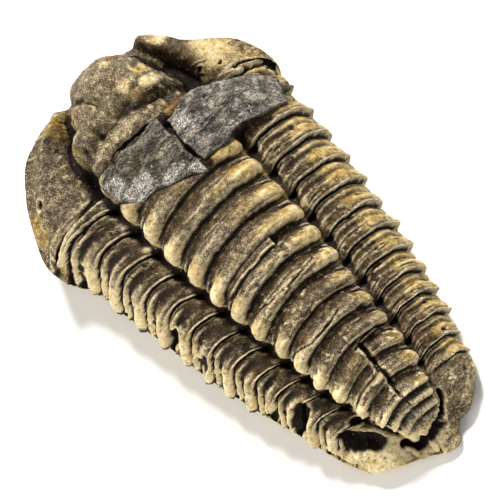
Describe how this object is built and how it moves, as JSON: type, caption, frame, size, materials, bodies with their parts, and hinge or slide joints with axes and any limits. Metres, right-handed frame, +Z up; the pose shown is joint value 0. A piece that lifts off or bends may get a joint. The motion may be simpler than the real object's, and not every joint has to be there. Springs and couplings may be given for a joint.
{
  "type": "trilobite fossil",
  "caption": "Prone trilobite fossil with a lobed head shield, arched ringed body, side ribs, tail shield and slate flakes on the neck, resting on a flat stone underside.",
  "frame": {"origin": "centre of the bounding box's bottom, on the surface that the fossil rests on", "axes": "+Z up, away from the resting face; +Y towards the head; +X towards the animal's right side"},
  "size_m": [0.0387, 0.0668, 0.0182],
  "materials": {
    "ochre_stone": null,
    "grey_slate": null
  },
  "bodies": {
    "root": {"fossil_body": "ochre_stone", "left_slate_flake": "grey_slate", "right_slate_flake": "grey_slate"}
  },
  "joints": []
}
